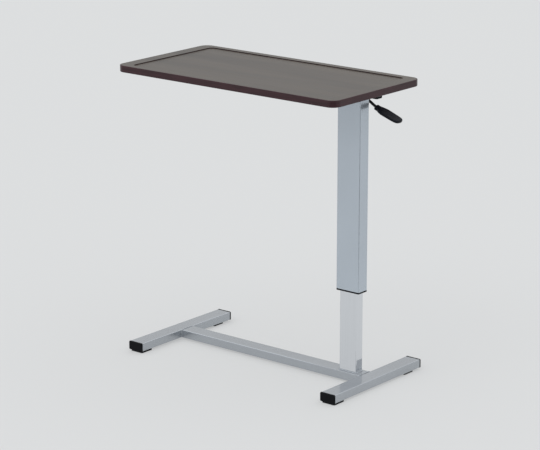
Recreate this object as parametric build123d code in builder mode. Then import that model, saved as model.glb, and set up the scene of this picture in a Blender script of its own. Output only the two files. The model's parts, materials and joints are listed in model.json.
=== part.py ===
"""Overbed table with a gas-spring lifting column on an H-shaped base.

Millimetres. +X runs along the tabletop towards the column, +Y is the rear side with the
rollers, +Z is up. The origin is the centre of the footprint box, on the floor.
"""
import os
from math import cos, radians, sin

from build123d import *

os.makedirs("parts", exist_ok=True)

# Tabletop
top_length = 800.0
top_depth = 400.0
top_thickness = 20.0
top_height = 863.0          # upper face of the rim, with the column at rest
top_corner_radius = 28.0
edge_band_width = 2.0
edge_round = 1.5
film_thickness = 0.8
recess_depth = 3.0
recess_rim_end = 40.0       # rim left at each short side
recess_rim_side = 23.0      # rim left at each long side
recess_corner_radius = 14.0

# Release lever
lever_shaft_diameter = 8.0
lever_rod_diameter = 8.0
lever_rod_slope = 31.5      # degrees below level
lever_rod_run = 48.0        # from the shaft's axis to the bend at the paddle's neck
rod_bend_radius = 20.0
paddle_slope = 20.0         # degrees below level
paddle_length = 89.0
paddle_tip_thickness = 5.0
paddle_socket = 16.0        # length of rod held inside the paddle
finger_arm = 15.5           # from the shaft's axis to the release pin's axis
pin_gap = 0.6               # free play between finger and pin

# Base
foot_length = 410.0         # over the end caps
tube_width = 50.0
tube_height = 25.0
tube_wall = 1.6
tube_corner_radius = 2.5
ground_clearance = 6.0
left_foot_offset = -336.6   # feet and column, measured from the tabletop's centre
right_foot_offset = 386.0
column_offset = 312.0
cap_flange = 4.0
cap_plug = 9.0

# Column
outer_width = 80.0
outer_depth = 40.0
inner_width = 60.0
inner_depth = 30.0
column_wall = 2.0
column_corner_radius = 2.5
outer_bottom = 274.0
sleeve_flange = 5.0
sleeve_skirt = 60.0
sleeve_round = 1.0
inner_top = 556.0
running_gap = 0.2           # each side, between sliding faces
plate_thickness = 5.0

# Gas spring
cylinder_diameter = 22.0
cylinder_wall = 1.5
cylinder_bottom = 58.0
cylinder_top = 540.0
gas_rod_diameter = 10.0
piston_top = 415.0
pin_diameter = 5.0
shaft_clearance = 0.05      # radial, shafts and pins in their bores

# Rollers
roller_diameter = 22.0
roller_width = 28.0
roller_y = 151.0
axle_diameter = 5.0

# Places worked out from the sizes above. The paddle's tip and the tabletop's free end are
# the two ends of the footprint box, so the tabletop's centre is half the reach to the left.
lever_run = (
    lever_rod_run * cos(radians(lever_rod_slope))
    + paddle_length * cos(radians(paddle_slope))
    + paddle_tip_thickness / 2 * sin(radians(paddle_slope))
)
lever_reach = column_offset + finger_arm + lever_run - top_length / 2
top_x = -lever_reach / 2
left_foot_x = top_x + left_foot_offset
right_foot_x = top_x + right_foot_offset
column_x = top_x + column_offset
underside = top_height - top_thickness
plate_bottom = underside - plate_thickness
tube_top = ground_clearance + tube_height
tube_mid = ground_clearance + tube_height / 2
tube_end = foot_length / 2 - cap_flange
shaft_x = column_x + finger_arm
shaft_z = plate_bottom - 8.0
foot_sides = {"left": left_foot_x, "right": right_foot_x}
inner_radius = column_corner_radius - column_wall


def level(z):
    """Horizontal plane at height z, centred on the tabletop."""
    return Plane(origin=(top_x, 0, z), x_dir=(1, 0, 0), z_dir=(0, 0, 1))


def column_level(z):
    """Horizontal plane at height z, centred on the column."""
    return Plane(origin=(column_x, 0, z), x_dir=(1, 0, 0), z_dir=(0, 0, 1))


def along_y(x, y, z):
    """Plane whose normal points along +Y."""
    return Plane(origin=(x, y, z), x_dir=(1, 0, 0), z_dir=(0, 1, 0))


def along_x(x, y, z):
    """Plane whose normal points along +X."""
    return Plane(origin=(x, y, z), x_dir=(0, 1, 0), z_dir=(1, 0, 0))


# ---------------------------------------------------------------- tabletop

band_length = top_length - 2 * edge_band_width
band_depth = top_depth - 2 * edge_band_width
band_radius = top_corner_radius - edge_band_width
recess_length = top_length - 2 * recess_rim_end
recess_width = top_depth - 2 * recess_rim_side
core_top = top_height - film_thickness
rail_y = 107.5
rail_width = 25.0
rail_height = 20.0
rail_start = top_x - 260.0
rail_end = top_x + 330.0
rail_screw_places = [(top_x + x, y) for x in (-220.0, 20.0, 190.0) for y in (-rail_y, rail_y)]
plate_length = 136.0
plate_width = 2 * rail_y - rail_width
plate_x = column_x - 6.0
plate_screw_places = [(plate_x + x, y) for x in (-56.0, 56.0) for y in (-80.0, 80.0)]
board_screw_diameter = 4.0
board_screw_depth = 12.0
screw_head_radius = 4.5
screw_head_height = 3.0

with BuildPart() as top_board:
    with BuildSketch(level(underside)):
        RectangleRounded(band_length, band_depth, band_radius)
    extrude(amount=core_top - recess_depth - underside)
    with BuildSketch(Plane.XY.offset(underside)):
        with Locations(*rail_screw_places, *plate_screw_places):
            Circle(board_screw_diameter / 2)
    extrude(amount=board_screw_depth, mode=Mode.SUBTRACT)
top_board.part.label = "top_board"
export_step(top_board.part, "parts/top_board.step")

# four mitred strips round the recess, with a hairline gap at each mitre
mitre_reach = 8.0
mitre_length = 70.0
mitre_gap = 0.1
mitre_x = recess_length / 2 + film_thickness + mitre_reach
mitre_y = recess_width / 2 + film_thickness + mitre_reach
mitres = [Location((x * mitre_x, y * mitre_y), 45.0 * x * y) for x in (-1, 1) for y in (-1, 1)]

with BuildPart() as board_rim:
    with BuildSketch(level(core_top - recess_depth)):
        RectangleRounded(band_length, band_depth, band_radius)
        RectangleRounded(
            recess_length + 2 * film_thickness,
            recess_width + 2 * film_thickness,
            recess_corner_radius + film_thickness,
            mode=Mode.SUBTRACT,
        )
        with Locations(*mitres):
            Rectangle(mitre_length, mitre_gap, mode=Mode.SUBTRACT)
    extrude(amount=recess_depth)
board_rim.part.label = "board_rim"
export_step(board_rim.part, "parts/board_rim.step")

with BuildPart() as surface_film:
    with BuildSketch(level(core_top - recess_depth)):
        RectangleRounded(band_length, band_depth, band_radius)
    extrude(amount=recess_depth + film_thickness)
    with BuildSketch(level(top_height)):
        RectangleRounded(recess_length, recess_width, recess_corner_radius)
    extrude(amount=-recess_depth, mode=Mode.SUBTRACT)
    with BuildSketch(level(core_top)):
        RectangleRounded(band_length, band_depth, band_radius)
        RectangleRounded(
            recess_length + 2 * film_thickness,
            recess_width + 2 * film_thickness,
            recess_corner_radius + film_thickness,
            mode=Mode.SUBTRACT,
        )
    extrude(amount=-recess_depth, mode=Mode.SUBTRACT)
surface_film.part.label = "surface_film"
export_step(surface_film.part, "parts/surface_film.step")

with BuildPart() as edge_band:
    with BuildSketch(level(underside)):
        RectangleRounded(top_length, top_depth, top_corner_radius)
    extrude(amount=top_thickness)
    fillet(edge_band.edges().group_by(Axis.Z)[-1], edge_round)
    fillet(edge_band.edges().group_by(Axis.Z)[0], edge_round)
    with BuildSketch(level(underside)):
        RectangleRounded(band_length, band_depth, band_radius)
    extrude(amount=top_thickness, mode=Mode.SUBTRACT)
edge_band.part.label = "edge_band"
export_step(edge_band.part, "parts/edge_band.step")

# ---------------------------------------------------------------- support frame under the top

rail_mid = underside - rail_height / 2
rail_corner_radius = 2.0
rail_wall = 1.5
rail_inside = (rail_width - 2 * rail_wall, rail_height - 2 * rail_wall, rail_corner_radius - rail_wall)
plug_flange = 2.0
plug_depth = 10.0

for side, y in (("front", -rail_y), ("rear", rail_y)):
    with BuildPart() as support_rail:
        with BuildSketch(along_x(rail_start, y, rail_mid)):
            RectangleRounded(rail_width, rail_height, rail_corner_radius)
            RectangleRounded(*rail_inside, mode=Mode.SUBTRACT)
        extrude(amount=rail_end - rail_start)
        with BuildSketch(Plane.XY.offset(underside)):
            with Locations(*[place for place in rail_screw_places if place[1] == y]):
                Circle(board_screw_diameter / 2)
        extrude(amount=-rail_height, mode=Mode.SUBTRACT)
    support_rail.part.label = f"support_rail_{side}"
    export_step(support_rail.part, f"parts/support_rail_{side}.step")

with BuildPart() as rail_plugs:
    for y in (-rail_y, rail_y):
        for x, way in ((rail_start, 1), (rail_end, -1)):
            with BuildSketch(along_x(x, y, rail_mid)):
                RectangleRounded(rail_width, rail_height, rail_corner_radius)
            extrude(amount=-plug_flange * way)
            with BuildSketch(along_x(x, y, rail_mid)):
                RectangleRounded(*rail_inside)
            extrude(amount=plug_depth * way)
rail_plugs.part.label = "rail_plugs"
export_step(rail_plugs.part, "parts/rail_plugs.step")

bracket_depth = 22.0
bracket_front = 59.0
bracket_height = 19.0
bracket_start = column_x - 9.0
bracket_end = column_x + 39.0
bracket_middle = (bracket_start + bracket_end) / 2
bracket_bottom = plate_bottom - bracket_height
bracket_screw_inset = 8.0
bracket_screw_y = bracket_front + bracket_depth / 2
bracket_screw_places = [
    (bracket_start + bracket_screw_inset, bracket_screw_y),
    (bracket_end - bracket_screw_inset, bracket_screw_y),
]
bracket_screw_diameter = 5.0
bracket_corner_radius = 2.0
counterbore_depth = 4.0
counterbore_gap = 0.5       # how far a screw's head lies below the bracket's face

with BuildPart() as mounting_plate:
    with BuildSketch(Plane.XY.offset(plate_bottom)):
        with Locations((plate_x, 0)):
            RectangleRounded(plate_length, plate_width, 6.0)
        with Locations(*plate_screw_places):
            Circle(board_screw_diameter / 2, mode=Mode.SUBTRACT)
        with Locations(*bracket_screw_places):
            Circle(bracket_screw_diameter / 2, mode=Mode.SUBTRACT)
    extrude(amount=plate_thickness)
mounting_plate.part.label = "mounting_plate"
export_step(mounting_plate.part, "parts/mounting_plate.step")

with BuildPart() as board_screws:
    for places, seat in ((rail_screw_places, underside - rail_height), (plate_screw_places, plate_bottom)):
        with BuildSketch(Plane.XY.offset(seat)):
            with Locations(*places):
                Circle(screw_head_radius)
        extrude(amount=-screw_head_height)
        with BuildSketch(Plane.XY.offset(seat)):
            with Locations(*places):
                Circle(board_screw_diameter / 2)
        extrude(amount=underside + board_screw_depth - seat)
board_screws.part.label = "board_screws"
export_step(board_screws.part, "parts/board_screws.step")

# ---------------------------------------------------------------- outer column (lifts with the top)

head_block_bottom = 796.0
head_block_top = 816.0
head_screw_places = [(column_x + x, (head_block_bottom + head_block_top) / 2) for x in (-26.0, 26.0)]
head_screw_diameter = 6.0
head_screw_head_radius = 5.0
head_screw_head_height = 2.5
head_screw_reach = 12.0
bush_diameter = 12.0
bush_flange_radius = 8.0
bush_flange = 1.5
outer_inside = (outer_width - 2 * column_wall, outer_depth - 2 * column_wall)

with BuildPart() as outer_column:
    with BuildSketch(column_level(outer_bottom)):
        RectangleRounded(outer_width, outer_depth, column_corner_radius)
        RectangleRounded(*outer_inside, inner_radius, mode=Mode.SUBTRACT)
    extrude(amount=plate_bottom - outer_bottom)
    with BuildSketch(along_y(shaft_x, outer_depth / 2 - column_wall, shaft_z)):
        Circle(bush_diameter / 2)
    extrude(amount=column_wall, mode=Mode.SUBTRACT)
    for x, z in head_screw_places:
        with BuildSketch(along_y(x, outer_depth / 2 - column_wall, z)):
            Circle(head_screw_diameter / 2)
        extrude(amount=column_wall, mode=Mode.SUBTRACT)
outer_column.part.label = "outer_column"
export_step(outer_column.part, "parts/outer_column.step")

with BuildPart() as lower_sleeve:
    with BuildSketch(column_level(outer_bottom - sleeve_flange)):
        RectangleRounded(outer_width, outer_depth, column_corner_radius)
    extrude(amount=sleeve_flange)
    with BuildSketch(column_level(outer_bottom)):
        RectangleRounded(*outer_inside, inner_radius)
    extrude(amount=sleeve_skirt)
    with BuildSketch(column_level(outer_bottom - sleeve_flange)):
        RectangleRounded(
            inner_width + 2 * running_gap, inner_depth + 2 * running_gap, column_corner_radius + running_gap
        )
    extrude(amount=sleeve_flange + sleeve_skirt, mode=Mode.SUBTRACT)
    fillet(lower_sleeve.edges().group_by(Axis.Z)[0], sleeve_round)
lower_sleeve.part.label = "lower_sleeve"
export_step(lower_sleeve.part, "parts/lower_sleeve.step")

with BuildPart() as head_block:
    with BuildSketch(column_level(head_block_bottom)):
        RectangleRounded(*outer_inside, inner_radius)
        Circle(gas_rod_diameter / 2, mode=Mode.SUBTRACT)
    extrude(amount=head_block_top - head_block_bottom)
    for x, z in head_screw_places:
        with BuildSketch(along_y(x, outer_depth / 2 - column_wall, z)):
            Circle(head_screw_diameter / 2)
        extrude(amount=-head_screw_reach, mode=Mode.SUBTRACT)
head_block.part.label = "head_block"
export_step(head_block.part, "parts/head_block.step")

with BuildPart() as head_screws:
    for x, z in head_screw_places:
        with BuildSketch(along_y(x, outer_depth / 2, z)):
            Circle(head_screw_head_radius)
        extrude(amount=head_screw_head_height)
        with BuildSketch(along_y(x, outer_depth / 2, z)):
            Circle(head_screw_diameter / 2)
        extrude(amount=-(column_wall + head_screw_reach))
head_screws.part.label = "head_screws"
export_step(head_screws.part, "parts/head_screws.step")

shaft_bore = lever_shaft_diameter / 2 + shaft_clearance

with BuildPart() as shaft_bush:
    with BuildSketch(along_y(shaft_x, outer_depth / 2 - column_wall, shaft_z)):
        Circle(bush_diameter / 2)
    extrude(amount=column_wall)
    with BuildSketch(along_y(shaft_x, outer_depth / 2, shaft_z)):
        Circle(bush_flange_radius)
    extrude(amount=bush_flange)
    with BuildSketch(along_y(shaft_x, outer_depth / 2 - column_wall, shaft_z)):
        Circle(shaft_bore)
    extrude(amount=column_wall + bush_flange, mode=Mode.SUBTRACT)
shaft_bush.part.label = "shaft_bush"
export_step(shaft_bush.part, "parts/shaft_bush.step")

with BuildPart() as lever_bracket:
    with BuildSketch(along_y(bracket_middle, bracket_front, bracket_bottom + bracket_height / 2)):
        RectangleRounded(bracket_end - bracket_start, bracket_height, bracket_corner_radius)
    extrude(amount=bracket_depth)
    with BuildSketch(along_y(shaft_x, bracket_front, shaft_z)):
        Circle(shaft_bore)
    extrude(amount=bracket_depth, mode=Mode.SUBTRACT)
    with BuildSketch(Plane.XY.offset(bracket_bottom)):
        with Locations(*bracket_screw_places):
            Circle(screw_head_radius)
    extrude(amount=counterbore_depth, mode=Mode.SUBTRACT)
    with BuildSketch(Plane.XY.offset(bracket_bottom)):
        with Locations(*bracket_screw_places):
            Circle(bracket_screw_diameter / 2)
    extrude(amount=bracket_height, mode=Mode.SUBTRACT)
lever_bracket.part.label = "lever_bracket"
export_step(lever_bracket.part, "parts/lever_bracket.step")

with BuildPart() as bracket_screws:
    with BuildSketch(Plane.XY.offset(bracket_bottom + counterbore_gap)):
        with Locations(*bracket_screw_places):
            Circle(screw_head_radius)
    extrude(amount=counterbore_depth - counterbore_gap)
    with BuildSketch(Plane.XY.offset(bracket_bottom + counterbore_depth)):
        with Locations(*bracket_screw_places):
            Circle(bracket_screw_diameter / 2)
    extrude(amount=bracket_height - counterbore_depth + plate_thickness)
bracket_screws.part.label = "bracket_screws"
export_step(bracket_screws.part, "parts/bracket_screws.step")

# ---------------------------------------------------------------- gas spring

cylinder_inside = cylinder_diameter - 2 * cylinder_wall
stud_diameter = 8.0
stud_length = 12.0
gland_height = 20.0
cylinder_floor = 4.0
piston_height = 12.0
end_chamfer = 0.6
pin_top = shaft_z - 4.0
pin_bottom = head_block_top - 12.0
pin_bore_depth = 17.0

with BuildPart() as gas_cylinder:
    with BuildSketch(column_level(cylinder_bottom)):
        Circle(cylinder_diameter / 2)
    extrude(amount=cylinder_top - cylinder_bottom)
    with BuildSketch(column_level(cylinder_bottom + cylinder_floor)):
        Circle(cylinder_inside / 2)
    extrude(amount=cylinder_top - cylinder_bottom - cylinder_floor, mode=Mode.SUBTRACT)
    with BuildSketch(column_level(cylinder_bottom)):
        Circle(stud_diameter / 2)
    extrude(amount=-stud_length)
gas_cylinder.part.label = "gas_cylinder"
export_step(gas_cylinder.part, "parts/gas_cylinder.step")

with BuildPart() as gas_gland:
    with BuildSketch(column_level(cylinder_top - gland_height)):
        Circle(cylinder_inside / 2)
        Circle(gas_rod_diameter / 2 + shaft_clearance, mode=Mode.SUBTRACT)
    extrude(amount=gland_height)
gas_gland.part.label = "gas_gland"
export_step(gas_gland.part, "parts/gas_gland.step")

with BuildPart() as gas_rod:
    with BuildSketch(column_level(piston_top)):
        Circle(gas_rod_diameter / 2)
    extrude(amount=head_block_top - piston_top)
    with BuildSketch(column_level(head_block_top)):
        Circle(pin_diameter / 2 + shaft_clearance)
    extrude(amount=-pin_bore_depth, mode=Mode.SUBTRACT)
gas_rod.part.label = "gas_rod"
export_step(gas_rod.part, "parts/gas_rod.step")

with BuildPart() as gas_piston:
    with BuildSketch(column_level(piston_top - piston_height)):
        Circle(cylinder_inside / 2 - running_gap)
    extrude(amount=piston_height)
gas_piston.part.label = "gas_piston"
export_step(gas_piston.part, "parts/gas_piston.step")

with BuildPart() as release_pin:
    with BuildSketch(column_level(pin_bottom)):
        Circle(pin_diameter / 2)
    extrude(amount=pin_top - pin_bottom)
    chamfer(release_pin.edges().group_by(Axis.Z)[-1], end_chamfer)
release_pin.part.label = "release_pin"
export_step(release_pin.part, "parts/release_pin.step")

# ---------------------------------------------------------------- release lever

finger_thickness = 10.0
finger_underside = pin_top + pin_gap
finger_tip = shaft_x - finger_arm - 6.0
finger_height = 5.0
finger_hub_radius = 6.5
rod_y = 30.0
shaft_end = bracket_front + bracket_depth + 4.0
bend_x = shaft_x + lever_rod_run * cos(radians(lever_rod_slope))
bend_z = shaft_z - lever_rod_run * sin(radians(lever_rod_slope))
paddle_dir = Vector(cos(radians(paddle_slope)), 0, -sin(radians(paddle_slope)))
# distance from the neck, width and thickness of the paddle's cross sections
paddle_sections = [
    (0.0, 14.5, 13.5),
    (10.0, 16.5, 13.5),
    (21.0, 27.0, 13.5),
    (33.0, 37.0, 13.0),
    (48.0, 38.0, 11.5),
    (66.0, 35.5, 10.5),
    (79.0, 28.0, 9.0),
    (paddle_length, 12.0, paddle_tip_thickness),
]

with BuildPart() as lever_shaft:
    with BuildSketch(along_y(shaft_x, -finger_thickness / 2, shaft_z)):
        Circle(lever_shaft_diameter / 2)
    extrude(amount=shaft_end + finger_thickness / 2)
    chamfer(lever_shaft.edges().group_by(Axis.Y)[-1], end_chamfer)
lever_shaft.part.label = "lever_shaft"
export_step(lever_shaft.part, "parts/lever_shaft.step")

with BuildPart() as release_finger:
    with BuildSketch(along_y(shaft_x, -finger_thickness / 2, shaft_z)):
        Circle(finger_hub_radius)
        with Locations(((finger_tip - shaft_x) / 2, -(finger_underside + finger_height / 2 - shaft_z))):
            Rectangle(shaft_x - finger_tip, finger_height)
        Circle(lever_shaft_diameter / 2, mode=Mode.SUBTRACT)
    extrude(amount=finger_thickness)
release_finger.part.label = "release_finger"
export_step(release_finger.part, "parts/release_finger.step")

neck = Vector(bend_x, rod_y, bend_z)
rod_end = neck + paddle_dir * paddle_socket

with BuildPart() as lever_rod:
    with BuildLine() as rod_path:
        FilletPolyline((shaft_x, rod_y, shaft_z), neck, rod_end, radius=rod_bend_radius)
    rod_axis = Vector(bend_x - shaft_x, 0, bend_z - shaft_z)
    with BuildSketch(Plane(origin=(shaft_x, rod_y, shaft_z), x_dir=(0, 1, 0), z_dir=rod_axis)):
        Circle(lever_rod_diameter / 2)
    sweep()
    with BuildSketch(along_y(shaft_x, rod_y - lever_rod_diameter, shaft_z)):
        Circle(lever_shaft_diameter / 2)
    extrude(amount=2 * lever_rod_diameter, mode=Mode.SUBTRACT)
lever_rod.part.label = "lever_rod"
export_step(lever_rod.part, "parts/lever_rod.step")

with BuildPart() as lever_paddle:
    for distance, width, thickness in paddle_sections:
        centre = neck + paddle_dir * distance
        with BuildSketch(Plane(origin=centre, x_dir=(0, 1, 0), z_dir=paddle_dir)):
            SlotOverall(width, thickness)
    loft()
    with BuildLine():
        FilletPolyline((shaft_x, rod_y, shaft_z), neck, rod_end, radius=rod_bend_radius)
    with BuildSketch(Plane(origin=(shaft_x, rod_y, shaft_z), x_dir=(0, 1, 0), z_dir=rod_axis)):
        Circle(lever_rod_diameter / 2)
    sweep(mode=Mode.SUBTRACT)
lever_paddle.part.label = "lever_paddle"
export_step(lever_paddle.part, "parts/lever_paddle.step")

clip_radius = 6.5
clip_thickness = 1.2
clip_gap = 3.0

with BuildPart() as shaft_clip:
    with BuildSketch(along_y(shaft_x, shaft_end - clip_gap, shaft_z)):
        Circle(clip_radius)
        Circle(lever_shaft_diameter / 2, mode=Mode.SUBTRACT)
        with Locations((0, clip_radius)):
            Rectangle(clip_gap, clip_radius, mode=Mode.SUBTRACT)
    extrude(amount=clip_thickness)
shaft_clip.part.label = "shaft_clip"
export_step(shaft_clip.part, "parts/shaft_clip.step")

# ---------------------------------------------------------------- inner column (fixed to the base)

foot_block_height = 25.0
foot_bolt_places = [(column_x + x, 0) for x in (-19.0, 19.0)]
foot_bolt_diameter = 8.0
foot_bolt_top = tube_top + 20.0
foot_bolt_head_radius = 7.0
foot_bolt_head_height = 4.0
inner_inside = (inner_width - 2 * column_wall, inner_depth - 2 * column_wall)
guide_overlap = 36.0
guide_corner_radius = 1.0
guide_cap = 6.0

with BuildPart() as inner_column:
    with BuildSketch(column_level(tube_top)):
        RectangleRounded(inner_width, inner_depth, column_corner_radius)
        RectangleRounded(*inner_inside, inner_radius, mode=Mode.SUBTRACT)
    extrude(amount=inner_top - tube_top)
inner_column.part.label = "inner_column"
export_step(inner_column.part, "parts/inner_column.step")

with BuildPart() as column_foot_block:
    with BuildSketch(column_level(tube_top)):
        RectangleRounded(*inner_inside, inner_radius)
    extrude(amount=foot_block_height)
    with BuildSketch(Plane.XY.offset(tube_top)):
        with Locations(*foot_bolt_places):
            Circle(foot_bolt_diameter / 2)
    extrude(amount=foot_bolt_top - tube_top, mode=Mode.SUBTRACT)
    with BuildSketch(column_level(cylinder_bottom - stud_length)):
        Circle(stud_diameter / 2)
    extrude(amount=stud_length, mode=Mode.SUBTRACT)
column_foot_block.part.label = "column_foot_block"
export_step(column_foot_block.part, "parts/column_foot_block.step")

with BuildPart() as foot_bolts:
    with BuildSketch(Plane.XY.offset(ground_clearance)):
        with Locations(*foot_bolt_places):
            RegularPolygon(foot_bolt_head_radius, 6)
    extrude(amount=-foot_bolt_head_height)
    with BuildSketch(Plane.XY.offset(ground_clearance)):
        with Locations(*foot_bolt_places):
            Circle(foot_bolt_diameter / 2)
    extrude(amount=foot_bolt_top - ground_clearance)
foot_bolts.part.label = "foot_bolts"
export_step(foot_bolts.part, "parts/foot_bolts.step")

with BuildPart() as upper_guide:
    with BuildSketch(column_level(inner_top - guide_overlap)):
        RectangleRounded(
            outer_inside[0] - 2 * running_gap, outer_inside[1] - 2 * running_gap, guide_corner_radius
        )
    extrude(amount=guide_overlap + guide_cap)
    with BuildSketch(column_level(inner_top - guide_overlap)):
        RectangleRounded(inner_width, inner_depth, column_corner_radius)
    extrude(amount=guide_overlap, mode=Mode.SUBTRACT)
    with BuildSketch(column_level(inner_top)):
        Circle(cylinder_diameter / 2)
    extrude(amount=guide_cap, mode=Mode.SUBTRACT)
upper_guide.part.label = "upper_guide"
export_step(upper_guide.part, "parts/upper_guide.step")

# ---------------------------------------------------------------- base frame

pad_width = 45.0
pad_length = 46.0
pad_y = -tube_end + pad_length / 2
pad_corner_radius = 5.0
pad_round = 1.5
pad_screw_spacing = 22.0
pad_screw_places = [(0, pad_y - pad_screw_spacing / 2), (0, pad_y + pad_screw_spacing / 2)]
pad_screw_diameter = 5.0
pad_screw_head_radius = 4.6
pad_counterbore_radius = 5.0
pad_counterbore_depth = 3.0
pad_screw_recess = 0.8      # how far the screw's head lies above the floor
pad_screw_reach = 2.0       # screw above the tube's lower wall
cap_round = 1.2
slot_half_width = 20.0
slot_half_length = 14.0
inside_width = tube_width - 2 * tube_wall
inside_height = tube_height - 2 * tube_wall
inside_radius = tube_corner_radius - tube_wall
beam_start = left_foot_x + tube_width / 2
beam_end = right_foot_x - tube_width / 2

for side, x in foot_sides.items():
    with BuildPart() as foot_bar:
        with BuildSketch(along_y(x, -tube_end, tube_mid)):
            RectangleRounded(tube_width, tube_height, tube_corner_radius)
            RectangleRounded(inside_width, inside_height, inside_radius, mode=Mode.SUBTRACT)
        extrude(amount=2 * tube_end)
        with BuildSketch(Plane.XY.offset(ground_clearance)):
            with Locations((x, roller_y)):
                Rectangle(2 * slot_half_width, 2 * slot_half_length)
            with Locations(*[(x + dx, y) for dx, y in pad_screw_places]):
                Circle(pad_screw_diameter / 2)
        extrude(amount=tube_wall, mode=Mode.SUBTRACT)
    foot_bar.part.label = f"{side}_foot_bar"
    export_step(foot_bar.part, f"parts/{side}_foot_bar.step")

with BuildPart() as cross_beam:
    with BuildSketch(along_x(beam_start, 0, tube_mid)):
        RectangleRounded(tube_width, tube_height, tube_corner_radius)
        RectangleRounded(inside_width, inside_height, inside_radius, mode=Mode.SUBTRACT)
    extrude(amount=beam_end - beam_start)
    with BuildSketch(Plane.XY.offset(ground_clearance)):
        with Locations(*foot_bolt_places):
            Circle(foot_bolt_diameter / 2)
    extrude(amount=tube_height, mode=Mode.SUBTRACT)
cross_beam.part.label = "cross_beam"
export_step(cross_beam.part, "parts/cross_beam.step")

for side, x in foot_sides.items():
    for end, way in (("front", -1), ("rear", 1)):
        with BuildPart() as end_cap:
            with BuildSketch(along_y(x, way * tube_end, tube_mid)):
                RectangleRounded(tube_width, tube_height, tube_corner_radius)
            extrude(amount=way * cap_flange)
            fillet(end_cap.edges().group_by(Axis.Y)[-1 if way > 0 else 0], cap_round)
            with BuildSketch(along_y(x, way * tube_end, tube_mid)):
                RectangleRounded(inside_width, inside_height, inside_radius)
            extrude(amount=-way * cap_plug)
        end_cap.part.label = f"end_cap_{side}_{end}"
        export_step(end_cap.part, f"parts/end_cap_{side}_{end}.step")

    with BuildPart() as foot_pad:
        with BuildSketch(Plane.XY):
            with Locations((x, pad_y)):
                RectangleRounded(pad_width, pad_length, pad_corner_radius)
        extrude(amount=ground_clearance)
        fillet(foot_pad.edges().group_by(Axis.Z)[0], pad_round)
        with BuildSketch(Plane.XY):
            with Locations(*[(x + dx, y) for dx, y in pad_screw_places]):
                Circle(pad_counterbore_radius)
        extrude(amount=pad_counterbore_depth, mode=Mode.SUBTRACT)
        with BuildSketch(Plane.XY):
            with Locations(*[(x + dx, y) for dx, y in pad_screw_places]):
                Circle(pad_screw_diameter / 2)
        extrude(amount=ground_clearance, mode=Mode.SUBTRACT)
    foot_pad.part.label = f"foot_pad_{side}"
    export_step(foot_pad.part, f"parts/foot_pad_{side}.step")

with BuildPart() as pad_screws:
    for x in foot_sides.values():
        places = [(x + dx, y) for dx, y in pad_screw_places]
        with BuildSketch(Plane.XY.offset(pad_screw_recess)):
            with Locations(*places):
                Circle(pad_screw_head_radius)
        extrude(amount=pad_counterbore_depth - pad_screw_recess)
        with BuildSketch(Plane.XY.offset(pad_counterbore_depth)):
            with Locations(*places):
                Circle(pad_screw_diameter / 2)
        extrude(amount=ground_clearance + tube_wall + pad_screw_reach - pad_counterbore_depth)
pad_screws.part.label = "pad_screws"
export_step(pad_screws.part, "parts/pad_screws.step")

# ---------------------------------------------------------------- rear rollers

flange_bottom = 2.0
flange_start = 130.0
flange_end = 172.0
lug_start = 113.0
lug_bottom = 3.0
cheek_thickness = 4.5
cheek_top = 18.0
housing_corner_radius = 4.0
housing_gap = 0.5           # each end, between the housing and its slot
lug_overlap = 5.0
lug_width = pad_width - 10.0
roller_round = 1.0
axle_z = roller_diameter / 2
well_half_width = slot_half_width - cheek_thickness
well_half_length = slot_half_length - 1.5

for side, x in foot_sides.items():
    with BuildPart() as roller_housing:
        with BuildSketch(Plane.XY.offset(flange_bottom)):
            with Locations((x, (flange_start + flange_end) / 2)):
                RectangleRounded(pad_width, flange_end - flange_start, housing_corner_radius)
        extrude(amount=ground_clearance - flange_bottom)
        with BuildSketch(Plane.XY.offset(lug_bottom)):
            with Locations((x, (lug_start + flange_start + lug_overlap) / 2)):
                RectangleRounded(lug_width, flange_start + lug_overlap - lug_start, housing_corner_radius)
        extrude(amount=ground_clearance - lug_bottom)
        with BuildSketch(Plane.XY.offset(flange_bottom)):
            with Locations((x, roller_y)):
                Rectangle(2 * slot_half_width, 2 * (slot_half_length - housing_gap))
        extrude(amount=cheek_top - flange_bottom)
        with BuildSketch(Plane.XY.offset(flange_bottom)):
            with Locations((x, roller_y)):
                Rectangle(2 * well_half_width, 2 * well_half_length)
        extrude(amount=cheek_top - flange_bottom, mode=Mode.SUBTRACT)
        with BuildSketch(along_x(x - slot_half_width, roller_y, axle_z)):
            Circle(axle_diameter / 2)
        extrude(amount=2 * slot_half_width, mode=Mode.SUBTRACT)
    roller_housing.part.label = f"roller_housing_{side}"
    export_step(roller_housing.part, f"parts/roller_housing_{side}.step")

    with BuildPart() as roller:
        with BuildSketch(along_x(x - roller_width / 2, roller_y, axle_z)):
            Circle(roller_diameter / 2)
            Circle(axle_diameter / 2 + shaft_clearance, mode=Mode.SUBTRACT)
        extrude(amount=roller_width)
        fillet(roller.edges().filter_by(GeomType.CIRCLE).sort_by(SortBy.RADIUS)[-2:], roller_round)
    roller.part.label = f"roller_{side}"
    export_step(roller.part, f"parts/roller_{side}.step")

    with BuildPart() as roller_axle:
        with BuildSketch(along_x(x - slot_half_width, roller_y, axle_z)):
            Circle(axle_diameter / 2)
        extrude(amount=2 * slot_half_width)
    roller_axle.part.label = f"roller_axle_{side}"
    export_step(roller_axle.part, f"parts/roller_axle_{side}.step")
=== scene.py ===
"""Overbed table for a studio view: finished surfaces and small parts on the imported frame."""
import json
import math

import bmesh
import bpy
from mathutils import Matrix, Vector


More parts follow.
